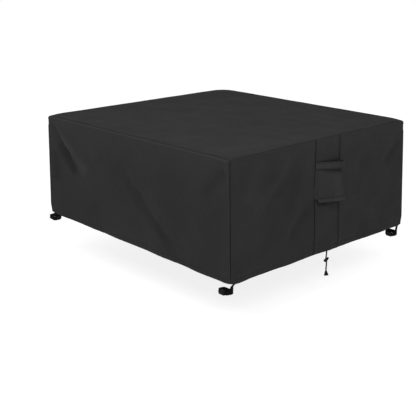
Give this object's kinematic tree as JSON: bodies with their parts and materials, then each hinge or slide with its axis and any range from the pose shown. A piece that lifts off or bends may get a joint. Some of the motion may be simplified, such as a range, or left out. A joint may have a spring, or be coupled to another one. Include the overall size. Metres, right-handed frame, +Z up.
{
  "type": "patio furniture cover",
  "caption": "Square boxed cloth cover for outdoor furniture, with a hooded air vent, a handle band, buckled leg straps and a draw cord with a push-button lock.",
  "frame": {"origin": "middle of the underside of the top panel, which lies on the furniture", "axes": "+Z up, the plain front at -Y, the side with the air vent, the handle band and the draw cord at +X"},
  "size_m": [1.3194, 1.2897, 0.6685],
  "materials": {
    "cloth": "charcoal coated oxford cloth, matt",
    "webbing": "black woven webbing, matt",
    "plastic": "black moulded, fine satin",
    "cord": "black braided, matt"
  },
  "bodies": {
    "cover": {"top_panel": "cloth", "front_panel": "cloth", "back_panel": "cloth", "left_panel": "cloth", "right_panel_near": "cloth", "vent_strip": "cloth", "right_panel_far": "cloth", "vent_hood": "cloth", "handle_band": "cloth", "strap_tab_near": "webbing", "strap_tab_left": "webbing", "strap_tab_right": "webbing", "strap_tab_back": "webbing", "strap_loop_near": "webbing", "strap_loop_left": "webbing", "strap_loop_right": "webbing", "strap_loop_back": "webbing", "buckle_socket_near": "plastic", "buckle_socket_left": "plastic", "buckle_socket_right": "plastic", "buckle_socket_back": "plastic", "buckle_plug_near": "plastic", "buckle_plug_left": "plastic", "buckle_plug_right": "plastic", "buckle_plug_back": "plastic", "cord_strand_a": "cord", "cord_strand_b": "cord", "lock_barrel": "plastic", "cord_end": "plastic"},
    "lock_button": {"lock_button": "plastic"}
  },
  "joints": [
    {"name": "lock_press", "type": "slide", "parent": "cover", "child": "lock_button", "axis": [0, -0.9397, -0.342], "range_m": [0, 0.0035], "stiffness_N_per_m": 120, "springref_m": -0.004}
  ]
}
